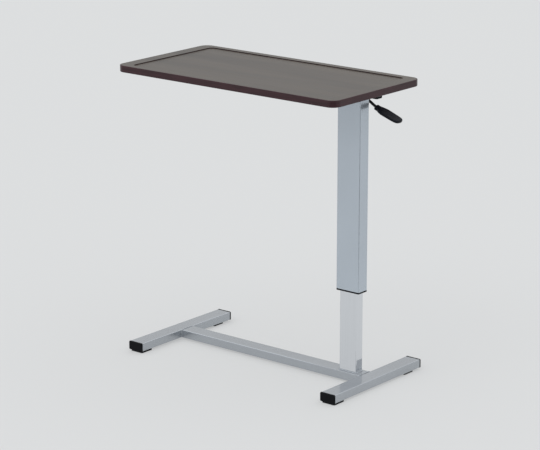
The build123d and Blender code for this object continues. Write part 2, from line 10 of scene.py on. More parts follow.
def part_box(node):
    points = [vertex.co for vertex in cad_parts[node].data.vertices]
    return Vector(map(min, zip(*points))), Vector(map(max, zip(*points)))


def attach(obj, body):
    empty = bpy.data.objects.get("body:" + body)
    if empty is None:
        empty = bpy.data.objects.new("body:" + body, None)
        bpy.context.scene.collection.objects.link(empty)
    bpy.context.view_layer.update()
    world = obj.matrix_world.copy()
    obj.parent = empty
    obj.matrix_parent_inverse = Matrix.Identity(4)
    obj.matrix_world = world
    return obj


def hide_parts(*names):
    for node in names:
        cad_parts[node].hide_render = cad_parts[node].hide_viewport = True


bl_info = {
    "name": "Overbed Table Finishes",
    "version": (1, 0, 0),
    "blender": (4, 5, 0),
    "location": "3D View > Sidebar > Overbed Table",
    "description": "Builds the finished surfaces, fasteners, lever and studio of an overbed table",
    "category": "Object",
}

MM = 0.001
SECTION_POINTS = 48         # round the lever's paddle
NUMBER, WHOLE, VECTOR, GEOMETRY, MATERIAL = (
    f"NodeSocket{kind}" for kind in ("Float", "Int", "Vector", "Geometry", "Material"))

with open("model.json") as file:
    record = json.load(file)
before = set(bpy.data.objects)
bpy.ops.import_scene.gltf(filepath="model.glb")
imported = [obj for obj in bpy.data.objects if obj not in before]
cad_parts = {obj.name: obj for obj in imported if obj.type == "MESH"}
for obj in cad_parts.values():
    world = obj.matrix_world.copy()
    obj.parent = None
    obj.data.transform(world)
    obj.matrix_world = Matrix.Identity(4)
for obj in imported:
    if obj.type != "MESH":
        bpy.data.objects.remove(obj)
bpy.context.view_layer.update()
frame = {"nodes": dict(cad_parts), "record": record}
NODES = frame["nodes"]
SLOT_OF = {part["node"]: part["material_slot"] for part in frame["record"]["subparts"]}
BODIES = frame["record"]["behaviour"]["bodies"]
BODY_OF = {node: body for body, nodes in BODIES.items() for node in nodes}


# ------------------------------------------------------------------ settings


def colour_setting(name, description, default):
    """A colour."""
    return bpy.props.FloatVectorProperty(
        name=name, description=description, subtype="COLOR", size=3, default=default,
        min=0.0, max=1.0)


def length_setting(name, description, default, low, high):
    """A length, given here in millimetres."""
    return bpy.props.FloatProperty(
        name=name, description=description, subtype="DISTANCE", unit="LENGTH",
        default=default * MM, min=low * MM, max=high * MM)


def strength_setting(name, description, default, high):
    """A plain amount from nothing upward."""
    return bpy.props.FloatProperty(
        name=name, description=description, subtype="UNSIGNED", default=default, min=0.0, max=high)


def angle_setting(name, description, default):
    """An angle, given here in degrees."""
    return bpy.props.FloatProperty(
        name=name, description=description, subtype="ANGLE", unit="ROTATION",
        default=math.radians(default))


class OverbedTopSettings(bpy.types.PropertyGroup):
    """Sizes and colours of the tabletop's film and edge."""

    film_dark: colour_setting(
        "Film Dark Grain", "Darkest tone of the printed grain", (0.034, 0.026, 0.020))
    film_light: colour_setting(
        "Film Light Grain", "Lightest tone of the printed grain", (0.074, 0.057, 0.042))
    edge_colour: colour_setting(
        "Edge Colour", "Colour of the edge band", (0.036, 0.011, 0.015))
    edge_round: length_setting(
        "Edge Round", "Radius of the edge band's long arrises", 1.8, 0.2, 5.0)
    recess_rim_end: length_setting(
        "Rim at Short Sides", "Width of the rim at the short sides", 40.0, 10.0, 90.0)
    recess_rim_side: length_setting(
        "Rim at Long Sides", "Width of the rim at the long sides", 23.0, 10.0, 90.0)
    recess_depth: length_setting(
        "Recess Depth", "How far the tray floor lies below the rim", 3.0, 0.5, 10.0)
    recess_slope: length_setting(
        "Recess Slope", "Width of the sloping wall of the recess", 1.3, 0.2, 10.0)


class OverbedMetalSettings(bpy.types.PropertyGroup):
    """Sizes and colours of the columns, base and small parts."""

    column_colour: colour_setting(
        "Column Paint", "Silver paint of the outer column", (0.49, 0.547, 0.607))
    base_colour: colour_setting(
        "Base Paint", "Silver paint of the base", (0.420, 0.447, 0.478))
    chrome_colour: colour_setting(
        "Chrome", "Tint of the chrome plating", (0.735, 0.757, 0.788))
    black_colour: colour_setting(
        "Black Plastic", "Colour of the moulded parts", (0.0030, 0.0033, 0.0046))
    column_wall: length_setting(
        "Column Wall", "Wall thickness of the two columns", 2.0, 0.5, 5.0)
    beam_wall: length_setting(
        "Beam Wall", "Wall thickness of the cross beam", 1.6, 0.5, 5.0)
    tube_corner: length_setting(
        "Tube Corner", "Outside corner radius of the tubes", 2.5, 0.5, 10.0)
    weld_radius: length_setting(
        "Weld Radius", "Radius of the painted weld beads", 1.3, 0.2, 5.0)


class OverbedStageSettings(bpy.types.PropertyGroup):
    """The studio: floor, light and camera."""

    floor_colour: colour_setting(
        "Floor", "Colour of the plain floor", (0.985, 0.996, 1.0))
    floor_albedo: strength_setting(
        "Floor Albedo", "How much light the floor scatters, which sets how deep its shadows are",
        0.28, 1.0)
    floor_glow: strength_setting(
        "Floor Glow", "Light that the floor gives out like a light table", 0.410, 2.0)
    surround: strength_setting(
        "Surround", "Strength of the even light at the level of the table", 0.62, 4.0)
    ceiling: strength_setting(
        "Ceiling", "Extra strength of the light from overhead", 0.75, 4.0)
    key_strength: strength_setting(
        "Key Light", "Strength of the soft light from the front", 0.30, 10.0)
    camera_azimuth: angle_setting(
        "Camera Azimuth", "How far the camera stands round to the right", 39.26)
    camera_elevation: angle_setting(
        "Camera Elevation", "How far the camera stands above level", 15.33)
    camera_distance: bpy.props.FloatProperty(
        name="Camera Distance", description="From the camera to the aim point",
        subtype="DISTANCE", unit="LENGTH", default=6.676, min=0.5, max=50.0)
    camera_lens: bpy.props.FloatProperty(
        name="Lens", description="Focal length in millimetres", default=153.0, min=10.0, max=400.0)


def settings():
    """The three groups of settings."""
    scene = bpy.context.scene
    return scene.overbed_top, scene.overbed_metal, scene.overbed_stage


# ------------------------------------------------------------------ node helpers


def socket(node, name, side="inputs"):
    """A node's enabled socket by its name."""
    for found in getattr(node, side):
        if found.name == name and found.enabled:
            return found
    raise KeyError(f"{node.bl_idname} has no {side} socket named {name}")


def feed(tree, node, **values):
    """Sets or links a node's inputs by name, with spaces written as underscores."""
    for key, value in values.items():
        target = socket(node, key.replace("_", " "))
        if isinstance(value, bpy.types.NodeSocket):
            tree.links.new(value, target)
        else:
            target.default_value = value
    return node


def add(tree, kind, options=None, **values):
    """A new node with its options set and its inputs fed."""
    node = tree.nodes.new(kind)
    for key, value in (options or {}).items():
        setattr(node, key, value)
    return feed(tree, node, **values)


def math_of(tree, operation, first, second=0.0):
    """The output of a Math node."""
    node = tree.nodes.new("ShaderNodeMath")
    node.operation = operation
    for target, value in zip(node.inputs, (first, second)):
        if isinstance(value, bpy.types.NodeSocket):
            tree.links.new(value, target)
        else:
            target.default_value = value
    return node.outputs[0]


# ------------------------------------------------------------------ materials


def new_material(name):
    """An empty node material with its principled shader and output joined."""
    material = bpy.data.materials.new(name)
    material.use_nodes = True
    tree = material.node_tree
    tree.nodes.clear()
    shader = tree.nodes.new("ShaderNodeBsdfPrincipled")
    output = tree.nodes.new("ShaderNodeOutputMaterial")
    tree.links.new(shader.outputs["BSDF"], output.inputs["Surface"])
    return material, tree, shader


def object_coordinates(tree, scale):
    """Object coordinates stretched by a scale along each axis."""
    place = tree.nodes.new("ShaderNodeTexCoord")
    return add(tree, "ShaderNodeMapping", Vector=place.outputs["Object"], Scale=scale).outputs[0]


def noise(tree, scale, detail=3.0, roughness=0.5):
    """The value of a noise pattern on stretched object coordinates."""
    node = add(tree, "ShaderNodeTexNoise", Vector=object_coordinates(tree, scale), Scale=1.0,
               Detail=detail, Roughness=roughness)
    return node.outputs[0]


def ramp(tree, value, stops):
    """A colour ramp through (position, colour) stops."""
    node = tree.nodes.new("ShaderNodeValToRGB")
    tree.links.new(value, node.inputs[0])
    elements = node.color_ramp.elements
    while len(elements) < len(stops):
        elements.new(0.5)
    for element, (position, colour) in zip(elements, stops):
        element.position = position
        element.color = (*colour, 1.0) if len(colour) == 3 else colour
    return node.outputs["Color"]


def grey(value):
    """A grey colour."""
    return (value, value, value)


def shade(colour, factor):
    """A colour made lighter or darker."""
    return tuple(channel * factor for channel in colour)


def remap(tree, value, low, high):
    """A 0 to 1 value spread between low and high."""
    node = add(tree, "ShaderNodeMapRange", Value=value)
    node.inputs["To Min"].default_value = low
    node.inputs["To Max"].default_value = high
    return node.outputs["Result"]


def bump(tree, shader, height, strength, distance):
    """A bump on the shader's normal."""
    node = add(tree, "ShaderNodeBump", Height=height, Strength=strength, Distance=distance)
    tree.links.new(node.outputs["Normal"], shader.inputs["Normal"])


def multiplied(tree, factor, first, second):
    """Two colours multiplied, by a share from 0 to 1."""
    node = tree.nodes.new("ShaderNodeMix")
    node.data_type = "RGBA"
    node.blend_type = "MULTIPLY"
    node.inputs[0].default_value = factor
    tree.links.new(first, node.inputs[6])
    tree.links.new(second, node.inputs[7])
    return node.outputs[2]


def weighted(tree, first, first_share, second, second_share):
    """Two values added, each by its share."""
    return math_of(tree, "ADD", math_of(tree, "MULTIPLY", first, first_share),
                   math_of(tree, "MULTIPLY", second, second_share))


def woodgrain_film():
    """Printed ash grain running along X: broad bands, fine lines and short pores, satin."""
    top, _, _ = settings()
    material, tree, shader = new_material("Woodgrain Film")
    bands = noise(tree, (1.3, 17.0, 17.0), 2.0)
    lines = noise(tree, (5.0, 210.0, 210.0), 4.0, 0.6)
    pores = noise(tree, (22.0, 900.0, 900.0), 2.0)
    grain = ramp(tree, weighted(tree, bands, 0.45, lines, 0.55), (
        (0.36, tuple(top.film_dark)), (0.50, shade(top.film_light, 0.80)),
        (0.64, tuple(top.film_light))))
    pore_mask = ramp(tree, pores, ((0.30, grey(0.62)), (0.42, grey(1.0))))
    feed(tree, shader, Base_Color=multiplied(tree, 0.75, grain, pore_mask),
         Roughness=remap(tree, lines, 0.30, 0.44), Specular_IOR_Level=0.45)
    bump(tree, shader, weighted(tree, lines, 0.7, pores, 0.5), 0.30, 0.00012)
    return material


def edge_band_finish(name, colour, specular):
    """Wine-brown band with faint lengthwise lines and a satin skin."""
    material, tree, shader = new_material(name)
    lines = noise(tree, (14.0, 14.0, 420.0), 3.0, 0.55)
    patches = noise(tree, (9.0, 9.0, 30.0), 2.0)
    streaks = ramp(tree, lines, ((0.34, shade(colour, 0.72)), (0.66, shade(colour, 1.30))))
    toned = ramp(tree, patches, ((0.30, grey(0.86)), (0.70, grey(1.10))))
    feed(tree, shader, Base_Color=multiplied(tree, 1.0, streaks, toned),
         Roughness=remap(tree, patches, 0.26, 0.36), Specular_IOR_Level=specular)
    bump(tree, shader, lines, 0.22, 0.00010)
    return material


def backing_board():
    """Underside of the board: a plain brown balancing sheet with a fine fibre speckle."""
    material, tree, shader = new_material("Backing Board")
    speckle = noise(tree, grey(420.0), 3.0, 0.6)
    cloud = noise(tree, (6.0, 9.0, 6.0), 2.0)
    base = ramp(tree, cloud, ((0.30, (0.120, 0.088, 0.064)), (0.70, (0.155, 0.116, 0.086))))
    fleck = ramp(tree, speckle, ((0.34, grey(0.72)), (0.60, grey(1.08))))
    feed(tree, shader, Base_Color=multiplied(tree, 0.8, base, fleck),
         Roughness=remap(tree, speckle, 0.60, 0.78))
    bump(tree, shader, speckle, 0.25, 0.00015)
    return material


def silver_paint(name, colour, metallic, rough):
    """Silver lacquer with fine flake, a little orange peel and slow drifts in tone."""
    material, tree, shader = new_material(name)
    flake = noise(tree, grey(2600.0), 1.0)
    drift = noise(tree, (5.0, 5.0, 3.0), 2.0)
    flakes = ramp(tree, flake, ((0.30, shade(colour, 0.90)), (0.70, shade(colour, 1.10))))
    drifts = ramp(tree, drift, ((0.30, grey(0.965)), (0.70, grey(1.03))))
    feed(tree, shader, Base_Color=multiplied(tree, 1.0, flakes, drifts), Metallic=metallic,
         Roughness=remap(tree, drift, rough - 0.03, rough + 0.04),
         Coat_Weight=0.6, Coat_Roughness=0.08)
    bump(tree, shader, noise(tree, grey(320.0), 2.0), 0.10, 0.00010)
    return material


def chrome_plate():
    """Bright chrome with faint upright polishing lines."""
    _, metal, _ = settings()
    material, tree, shader = new_material("Chrome Plate")
    lines = noise(tree, (700.0, 700.0, 6.0), 2.0)
    cloud = noise(tree, (14.0, 14.0, 5.0), 2.0)
    tint = tuple(metal.chrome_colour)
    feed(tree, shader, Metallic=1.0, Roughness=remap(tree, cloud, 0.05, 0.09),
         Base_Color=ramp(tree, lines, ((0.30, shade(tint, 0.97)), (0.70, shade(tint, 1.02)))))
    bump(tree, shader, lines, 0.04, 0.00004)
    return material


def moulded(name, colour, rough, grain=1500.0, depth=0.00008):
    """Moulded plastic or rubber with a fine leathery texture and slightly worn patches."""
    material, tree, shader = new_material(name)
    texture = add(tree, "ShaderNodeTexVoronoi", Scale=1.0,
                  Vector=object_coordinates(tree, grey(grain)))
    cloud = noise(tree, grey(60.0), 3.0)
    feed(tree, shader, Roughness=remap(tree, cloud, rough - 0.06, rough + 0.08),
         Base_Color=ramp(tree, cloud, ((0.30, shade(colour, 0.82)), (0.72, shade(colour, 1.35)))),
         Specular_IOR_Level=0.10)
    bump(tree, shader, texture.outputs["Distance"], 0.30, depth)
    return material


def powder_coat():
    """Black powder coat with a fine pebble."""
    material, tree, shader = new_material("Black Powder Coat")
    cloud = noise(tree, grey(30.0), 2.0)
    feed(tree, shader, Roughness=remap(tree, cloud, 0.36, 0.46),
         Base_Color=ramp(tree, cloud, ((0.30, grey(0.007)), (0.70, grey(0.012)))))
    bump(tree, shader, noise(tree, grey(900.0), 2.0), 0.35, 0.00012)
    return material


def zinc_plate():
    """Zinc plated steel with turned lines and light clouding."""
    material, tree, shader = new_material("Zinc Plate")
    cloud = noise(tree, grey(180.0), 3.0)
    feed(tree, shader, Metallic=1.0, Roughness=remap(tree, cloud, 0.26, 0.40),
         Base_Color=ramp(tree, cloud, ((0.30, (0.44, 0.45, 0.46)), (0.70, (0.60, 0.61, 0.62)))))
    bump(tree, shader, noise(tree, (300.0, 300.0, 2600.0), 2.0), 0.12, 0.00005)
    return material


def floor_finish():
    """Plain matt light table."""
    _, _, stage = settings()
    material, tree, shader = new_material("Studio Floor")
    cloud = noise(tree, grey(0.6), 2.0)
    colour = shade(tuple(stage.floor_colour), stage.floor_albedo)
    feed(tree, shader, Base_Color=ramp(tree, cloud, ((0.3, shade(colour, 0.997)), (0.7, colour))),
         Emission_Color=(*stage.floor_colour, 1.0), Emission_Strength=stage.floor_glow,
         Roughness=0.9, Specular_IOR_Level=0.0)
    return material


FINISHES = {}


def make_finishes():
    """One material for each slot of the record, and for the wall of the recess the edge band's
    finish darkened as painted shade.
    """
    top, metal, _ = settings()
    black = tuple(metal.black_colour)
    FINISHES.update({
        "woodgrain_film": woodgrain_film(),
        "edge_band": edge_band_finish("Edge Band", tuple(top.edge_colour), 0.33),
        # painted shade: the recess wall wears the edge colour darkened to 0.4, standing in for the
        # shade that falls on the wall
        "recess": edge_band_finish("Recess Edging", shade(top.edge_colour, 0.4), 0.12),
        "board": backing_board(),
        "silver_column": silver_paint("Silver Column Paint", tuple(metal.column_colour), 0.62, 0.24),
        "silver_base": silver_paint("Silver Base Paint", tuple(metal.base_colour), 0.78, 0.17),
        "chrome_column": chrome_plate(),
        "black_plastic": moulded("Black Plastic", black, 0.42),
        "black_paddle": moulded("Paddle Plastic", shade(black, 2.7), 0.38, 1100.0, 0.00006),
        "black_metal": powder_coat(),
        "plain_steel": zinc_plate(),
        "rubber_pad": moulded("Pad Rubber", shade(black, 2.0), 0.66, 1300.0, 0.00010),
        "roller_nylon": moulded("Roller Nylon", shade(black, 5.0), 0.40, 1700.0, 0.00004),
    })


# ------------------------------------------------------------------ piece helpers


def link(name, mesh):
    """A new object with this mesh, at the origin."""
    piece = bpy.data.objects.new(name, mesh)
    bpy.context.scene.collection.objects.link(piece)
    return piece


def smooth(piece, angle=32.0):
    """Smooth shading with sharp edges kept, and flats kept flat up to their rounded edges."""
    piece.data.shade_smooth()
    piece.data.set_sharp_from_angle(angle=math.radians(angle))
    weights = piece.modifiers.new("Flat Faces", "WEIGHTED_NORMAL")
    weights.keep_sharp = True
    weights.weight = 100
    return piece


def settle(piece, node, *replaced, angle=32.0):
    """Gives a finished piece its finish and its body, and hides the CAD nodes that it stands for."""
    slot = SLOT_OF[node]
    piece.data.materials.clear()
    piece.data.materials.append(FINISHES[slot])
    smooth(piece, angle)
    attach(piece, BODY_OF[node])
    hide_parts(node, *replaced)
    return piece


def refined(node, bevel=0.0, segments=2):
    """A merged copy of a CAD node with softened edges."""
    mesh = NODES[node].data.copy()
    mesh.name = node + "_mesh"
    work = bmesh.new()
    work.from_mesh(mesh)
    bmesh.ops.remove_doubles(work, verts=work.verts, dist=0.002 * MM)
    bmesh.ops.dissolve_limit(
        work, angle_limit=math.radians(0.5), verts=work.verts, edges=work.edges)
    work.to_mesh(mesh)
    work.free()
    for attribute in [a for a in mesh.attributes if a.name == "custom_normal"]:
        mesh.attributes.remove(attribute)
    piece = link(node.replace("_", " ").title().replace(" ", "_"), mesh)
    if bevel > 0.0:
        soften = piece.modifiers.new("Soft Edges", "BEVEL")
        soften.width = bevel
        soften.segments = segments
        soften.limit_method = "ANGLE"
        soften.angle_limit = math.radians(40.0)
        soften.use_clamp_overlap = True
    return piece


def new_tree(name, sockets):
    """A geometry tree with named inputs, the sockets that give them and its output node."""
    tree = bpy.data.node_groups.new(name, "GeometryNodeTree")
    for label, kind, default in sockets:
        made = tree.interface.new_socket(label, in_out="INPUT", socket_type=kind)
        if default is not None:
            made.default_value = default
    tree.interface.new_socket("Geometry", in_out="OUTPUT", socket_type=GEOMETRY)
    return tree, tree.nodes.new("NodeGroupInput").outputs, tree.nodes.new("NodeGroupOutput")


def finish_tree(tree, given, output, geometry):
    """Ends a tree in Realize Instances and Set Material."""
    real = add(tree, "GeometryNodeRealizeInstances", Geometry=geometry)
    coated = add(
        tree, "GeometryNodeSetMaterial", Geometry=real.outputs[0], Material=given["Material"])
    tree.links.new(coated.outputs[0], output.inputs["Geometry"])


def grown(name, tree, source=None, **values):
    """Runs a geometry tree on a source mesh and returns its result as a plain mesh object."""
    seed = link(name + "_seed", source or bpy.data.meshes.new(name + "_seed"))
    modifier = seed.modifiers.new("Grow", "NODES")
    modifier.node_group = tree
    for item in tree.interface.items_tree:
        key = item.name.replace(" ", "_")
        if item.item_type == "SOCKET" and item.in_out == "INPUT" and key in values:
            modifier[item.identifier] = values[key]
    bpy.context.view_layer.update()
    graph = bpy.context.evaluated_depsgraph_get()
    mesh = bpy.data.meshes.new_from_object(seed.evaluated_get(graph))
    bpy.data.objects.remove(seed)
    if not mesh.polygons:
        raise RuntimeError(f"the geometry tree of {name} made no faces")
    mesh.name = name
    return link(name, mesh)


# ------------------------------------------------------------------ rounded rectangles


def rounded_outline(half_x, half_y, radius, per_corner=10):
    """Points of a rounded rectangle round the origin, counter-clockwise."""
    points = []
    for quarter, (sx, sy) in enumerate(((1, 1), (-1, 1), (-1, -1), (1, -1))):
        centre = Vector((sx * (half_x - radius), sy * (half_y - radius)))
        for step in range(per_corner + 1):
            angle = math.radians(90.0 * (quarter + step / per_corner))
            points.append(centre + radius * Vector((math.cos(angle), math.sin(angle))))
    return points


def stacked(rings, cap_first=True, cap_last=True):
    """A mesh through rings of points with equal counts, closed by a face at each end."""
    work = bmesh.new()
    layers = [[work.verts.new(point) for point in ring] for ring in rings]
    count = len(layers[0])
    for lower, upper in zip(layers, layers[1:]):
        for i in range(count):
            j = (i + 1) % count
            work.faces.new((lower[i], lower[j], upper[j], upper[i]))
    if cap_first:
        work.faces.new(reversed(layers[0]))
    if cap_last:
        work.faces.new(layers[-1])
    bmesh.ops.remove_doubles(work, verts=work.verts, dist=0.0002 * MM)
    bmesh.ops.recalc_face_normals(work, faces=work.faces)
    mesh = bpy.data.meshes.new("stack")
    work.to_mesh(mesh)
    work.free()
    return mesh


# ------------------------------------------------------------------ the paddle's shape


def between(stations):
    """Each stretch's two ends and a share of the way along it, closed by the last station."""
    for here in range(len(stations) - 1):
        steps = 5 if stations[here + 1][0] - stations[here][0] > 5.0 else 3
        for step in range(steps):
            yield here, here + 1, step / steps
    yield len(stations) - 2, len(stations) - 1, 1.0


def rate(stations, first, last, column):
    """How fast a column changes along the paddle."""
    run = stations[last][0] - stations[first][0]
    return (stations[last][column] - stations[first][column]) / run


def eased(stations, here, there, share, column):
    """A smooth curve through one column of the stations."""
    if column == 0:
        return stations[here][0] + (stations[there][0] - stations[here][0]) * share
    before, after = max(here - 1, 0), min(there + 1, len(stations) - 1)
    run = stations[there][0] - stations[here][0]
    first = run * rate(stations, before, there, column)
    last = run * rate(stations, here, after, column)
    a, b = stations[here][column], stations[there][column]
    cube, square = share ** 3, share ** 2
    return ((2 * cube - 3 * square + 1) * a + (cube - 2 * square + share) * first
            + (3 * square - 2 * cube) * b + (cube - square) * last)


def section(upward, width, thickness, dish, turn):
    """One point of the paddle's squarish oval section, hollowed on top."""
    angle = 2 * math.pi * turn / SECTION_POINTS
    cosine, sine = math.cos(angle), math.sin(angle)
    squareness = 0.56           # 1 is an ellipse, and less is squarer
    across = math.copysign(abs(cosine) ** squareness, cosine)
    rise = math.copysign(abs(sine) ** squareness, sine)
    hollow = dish * (1 - across ** 4) ** 2 if rise > 0 else 0.0
    return Vector((0.0, across * width / 2, 0.0)) + upward * (rise * thickness / 2 - hollow)


# ------------------------------------------------------------------ geometry trees


def moved(tree, geometry, **place):
    """Geometry moved by a Translation and turned by a Rotation."""
    return add(tree, "GeometryNodeTransform", Geometry=geometry, **place).outputs[0]


def lifted(tree, geometry, height):
    """Geometry moved up by a height."""
    offset = add(tree, "ShaderNodeCombineXYZ", Z=height)
    return moved(tree, geometry, Translation=offset.outputs[0])


def rounded_curve(tree, width, height, radius, count=6):
    """The curve of a rectangle with rounded corners."""
    outline = add(tree, "GeometryNodeCurvePrimitiveQuadrilateral", Width=width, Height=height)
    return add(tree, "GeometryNodeFilletCurve", {"mode": "POLY"}, Curve=outline.outputs[0],
               Count=count, Radius=radius).outputs[0]


def pierced(tree, outlines, length):
    """A closed solid: the area between two outlines drawn out along Z by a length."""
    face = add(tree, "GeometryNodeFillCurve", Curve=outlines)
    offset = add(tree, "ShaderNodeCombineXYZ", Z=length)
    solid = tree.nodes.new("GeometryNodeExtrudeMesh")
    solid.mode = "FACES"
    tree.links.new(face.outputs[0], solid.inputs["Mesh"])
    tree.links.new(offset.outputs[0], solid.inputs["Offset"])
    solid.inputs["Individual"].default_value = False
    bottom = add(tree, "GeometryNodeFlipFaces", Mesh=face.outputs[0])
    both = tree.nodes.new("GeometryNodeJoinGeometry")
    tree.links.new(solid.outputs[0], both.inputs[0])
    tree.links.new(bottom.outputs[0], both.inputs[0])
    return add(tree, "GeometryNodeMergeByDistance", Geometry=both.outputs[0],
               Distance=0.00001).outputs[0]


def tube_tree():
    """A rectangular tube with rounded corners and open ends, from its profile and its length."""
    tree, given, output = new_tree("Rounded Tube", (
        ("Width", NUMBER, 0.05), ("Depth", NUMBER, 0.025), ("Wall", NUMBER, 0.002),
        ("Corner", NUMBER, 0.0025), ("Length", NUMBER, 1.0),
        ("Start", VECTOR, None), ("Turn", VECTOR, None),
        ("Material", MATERIAL, None)))
    wall = given["Wall"]
    twice = math_of(tree, "MULTIPLY", wall, 2.0)
    rings = tree.nodes.new("GeometryNodeJoinGeometry")
    profiles = (
        (given["Width"], given["Depth"], given["Corner"]),
        (math_of(tree, "SUBTRACT", given["Width"], twice),
         math_of(tree, "SUBTRACT", given["Depth"], twice),
         math_of(tree, "MAXIMUM", math_of(tree, "SUBTRACT", given["Corner"], wall), 0.0004)))
    for width, depth, corner in profiles:
        tree.links.new(rounded_curve(tree, width, depth, corner), rings.inputs[0])
    whole = pierced(tree, rings.outputs[0], given["Length"])
    placed = moved(tree, whole, Translation=given["Start"], Rotation=given["Turn"])
    finish_tree(tree, given, output, placed)
    return tree


def screw_tree():
    """A pan-head screw with a drive recess on every point of the source, all facing one way."""
    tree, given, output = new_tree("Screw Heads", (
        ("Geometry", GEOMETRY, None), ("Head Radius", NUMBER, 0.0045),
        ("Head Height", NUMBER, 0.003), ("Sides", WHOLE, 32),
        ("Recess Radius", NUMBER, 0.0018), ("Recess Sides", WHOLE, 6),
        ("Shank Radius", NUMBER, 0.002), ("Shank Length", NUMBER, 0.01),
        ("Turn", VECTOR, None), ("Material", MATERIAL, None)))
    head_radius, head_height = given["Head Radius"], given["Head Height"]
    stack = tree.nodes.new("GeometryNodeJoinGeometry")
    crown = math_of(tree, "MULTIPLY", head_radius, 0.93)
    half = math_of(tree, "MULTIPLY", head_height, 0.5)
    head = add(tree, "GeometryNodeMeshCone", Vertices=given["Sides"], Radius_Top=crown,
               Radius_Bottom=head_radius, Depth=half)
    below = math_of(tree, "MULTIPLY", head_height, -0.5)
    tree.links.new(lifted(tree, head.outputs["Mesh"], below), stack.inputs[0])
    outlines = tree.nodes.new("GeometryNodeJoinGeometry")
    circles = ((given["Sides"], crown), (given["Recess Sides"], given["Recess Radius"]))
    for sides, radius in circles:
        circle = add(tree, "GeometryNodeCurvePrimitiveCircle", Resolution=sides, Radius=radius)
        tree.links.new(circle.outputs[0], outlines.inputs[0])
    tree.links.new(pierced(tree, outlines.outputs[0], half), stack.inputs[0])
    shank = add(tree, "GeometryNodeMeshCylinder", Vertices=20, Radius=given["Shank Radius"],
                Depth=given["Shank Length"])
    low = math_of(tree, "MULTIPLY", math_of(tree, "ADD", head_height, given["Shank Length"]), -0.5)
    tree.links.new(lifted(tree, shank.outputs["Mesh"], low), stack.inputs[0])
    screw = lifted(tree, stack.outputs[0], half)
    points = add(tree, "GeometryNodeMeshToPoints", Mesh=given["Geometry"])
    turn = add(tree, "FunctionNodeEulerToRotation", Euler=given["Turn"])
    placed = add(tree, "GeometryNodeInstanceOnPoints", Points=points.outputs[0], Instance=screw,
                 Rotation=turn.outputs[0])
    finish_tree(tree, given, output, placed.outputs[0])
    return tree


def weld_tree():
    """A weld bead along the source's edges: overlapping ripples with a little unevenness."""
    tree, given, output = new_tree("Weld Bead", (
        ("Geometry", GEOMETRY, None), ("Radius", NUMBER, 0.0013),
        ("Pitch", NUMBER, 0.0016), ("Seed", WHOLE, 7),
        ("Material", MATERIAL, None)))
    path = add(tree, "GeometryNodeMeshToCurve", Mesh=given["Geometry"])
    points = add(tree, "GeometryNodeCurveToPoints", {"mode": "LENGTH"}, Curve=path.outputs[0],
                 Length=given["Pitch"])
    ripple = add(tree, "GeometryNodeMeshUVSphere", Segments=8, Rings=6, Radius=given["Radius"])
    uneven = add(tree, "FunctionNodeRandomValue", {"data_type": "FLOAT"}, Seed=given["Seed"],
                 Min=0.88, Max=1.12)
    placed = add(tree, "GeometryNodeInstanceOnPoints", Points=points.outputs[0],
                 Instance=ripple.outputs[0], Rotation=points.outputs["Rotation"],
                 Scale=uneven.outputs[1])
    finish_tree(tree, given, output, placed.outputs[0])
    return tree


def band_tree():
    """An edge band: an upright strip with rounded arrises swept round a rounded rectangle."""
    tree, given, output = new_tree("Edge Band", (
        ("Length", NUMBER, 0.8), ("Depth", NUMBER, 0.4), ("Corner", NUMBER, 0.028),
        ("Height", NUMBER, 0.02), ("Thickness", NUMBER, 0.002),
        ("Round", NUMBER, 0.0015), ("Centre", VECTOR, None),
        ("Material", MATERIAL, None)))
    path = rounded_curve(tree, given["Length"], given["Depth"], given["Corner"], 16)
    twice = math_of(tree, "MULTIPLY", given["Thickness"], 2.0)
    strip = rounded_curve(tree, twice, given["Height"], given["Round"])
    swept = add(tree, "GeometryNodeCurveToMesh", Curve=path, Profile_Curve=strip)
    finish_tree(tree, given, output, moved(tree, swept.outputs[0], Translation=given["Centre"]))
    return tree


# ------------------------------------------------------------------ operators


class OVERBED_OT_finishes(bpy.types.Operator):
    """Make the materials and give them to every part of the frame"""

    bl_idname = "overbed.finishes"
    bl_label = "Finishes"

    def execute(self, context):
        make_finishes()
        for node, piece in NODES.items():
            piece.data.materials.clear()
            piece.data.materials.append(FINISHES[SLOT_OF[node]])
        return {"FINISHED"}


